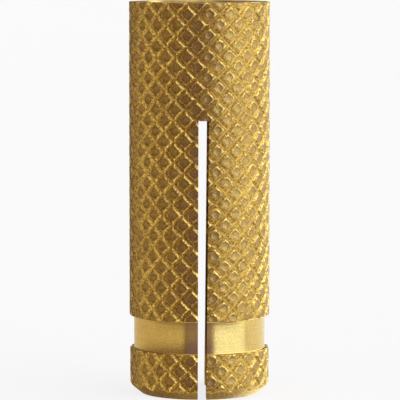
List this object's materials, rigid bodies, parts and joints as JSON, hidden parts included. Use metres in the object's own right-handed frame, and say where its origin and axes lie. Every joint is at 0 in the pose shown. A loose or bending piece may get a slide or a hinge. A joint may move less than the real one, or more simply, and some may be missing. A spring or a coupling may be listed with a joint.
{
  "type": "brass expansion anchor",
  "caption": "Knurled brass sleeve with a threaded bore and a slit end whose legs spread in a drilled hole when a screw is driven in.",
  "frame": {"origin": "centre of the slit end, on the anchor's axis, in the plane that it stands on", "axes": "+Z along the bore to the screw end; the slit lies in the YZ plane, and +X is the side to which it is sawn off centre"},
  "size_m": [0.01, 0.01, 0.028],
  "materials": {
    "brass": "turned and knurled bare brass, dull rolled crests and bright cut grooves"
  },
  "bodies": {
    "root": {"anchor": "brass"}
  },
  "joints": []
}
